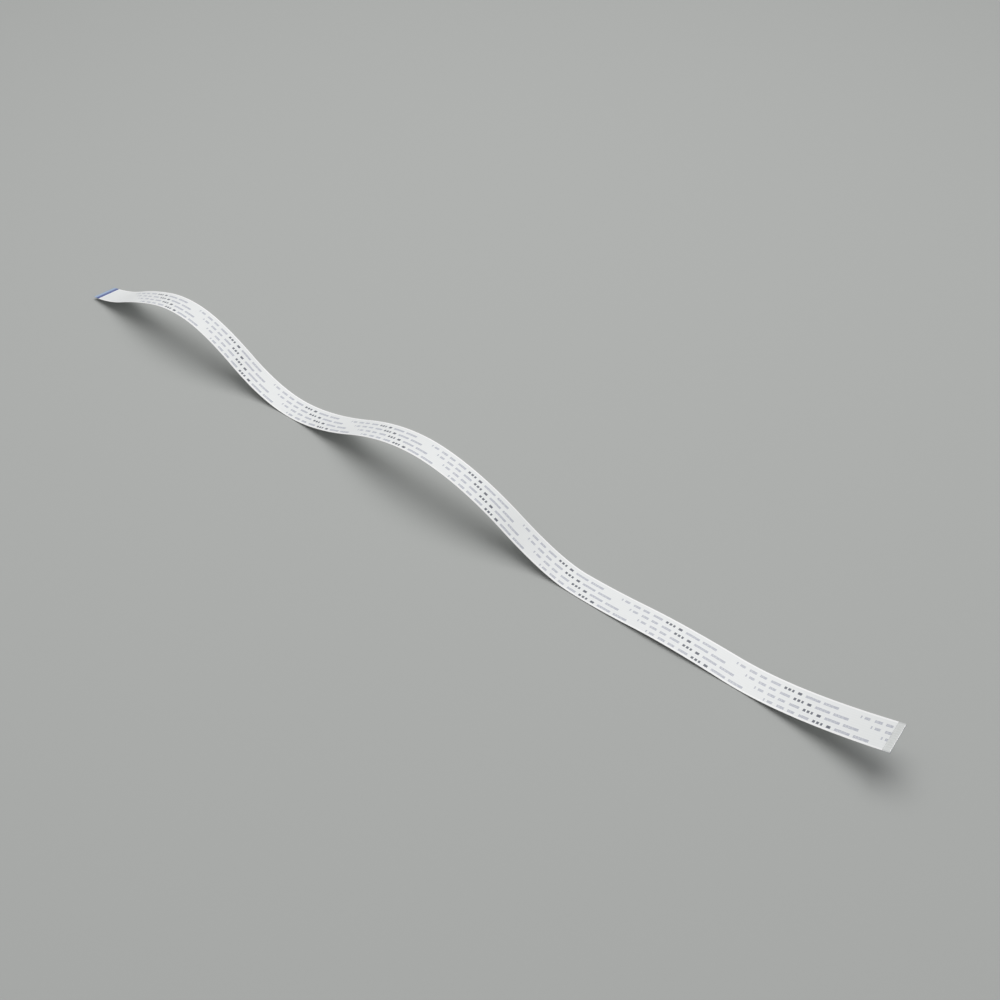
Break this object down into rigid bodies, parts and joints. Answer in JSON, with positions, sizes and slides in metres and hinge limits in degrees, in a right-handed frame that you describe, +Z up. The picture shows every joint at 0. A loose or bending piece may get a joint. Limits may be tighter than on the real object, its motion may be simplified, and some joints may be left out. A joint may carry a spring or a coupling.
{
  "type": "flat flexible cable",
  "caption": "White flat flexible cable with bare contacts and a stiffener at each end, lying in two raised waves; joins a printer's carriage to its board.",
  "frame": {"origin": "on the table, under the middle of the cable's box", "axes": "+X along the cable from the far tail (blue stiffener on top) to the raised near tail, +Y across the cable's width, +Z up"},
  "size_m": [0.5736, 0.0162, 0.0309],
  "materials": {
    "white_film": "white polyester film, slightly glossy",
    "tinned_copper": "bright tin plating on rolled copper",
    "blue_stiffener": "blue polyester tape, glossy"
  },
  "bodies": {
    "root": {"base_film": "white_film", "cover_film": "white_film", "conductor_01": "tinned_copper", "conductor_02": "tinned_copper", "conductor_03": "tinned_copper", "conductor_04": "tinned_copper", "conductor_05": "tinned_copper", "conductor_06": "tinned_copper", "conductor_07": "tinned_copper", "conductor_08": "tinned_copper", "conductor_09": "tinned_copper", "conductor_10": "tinned_copper", "conductor_11": "tinned_copper", "conductor_12": "tinned_copper", "far_stiffener": "blue_stiffener", "near_stiffener": "blue_stiffener"}
  },
  "joints": []
}
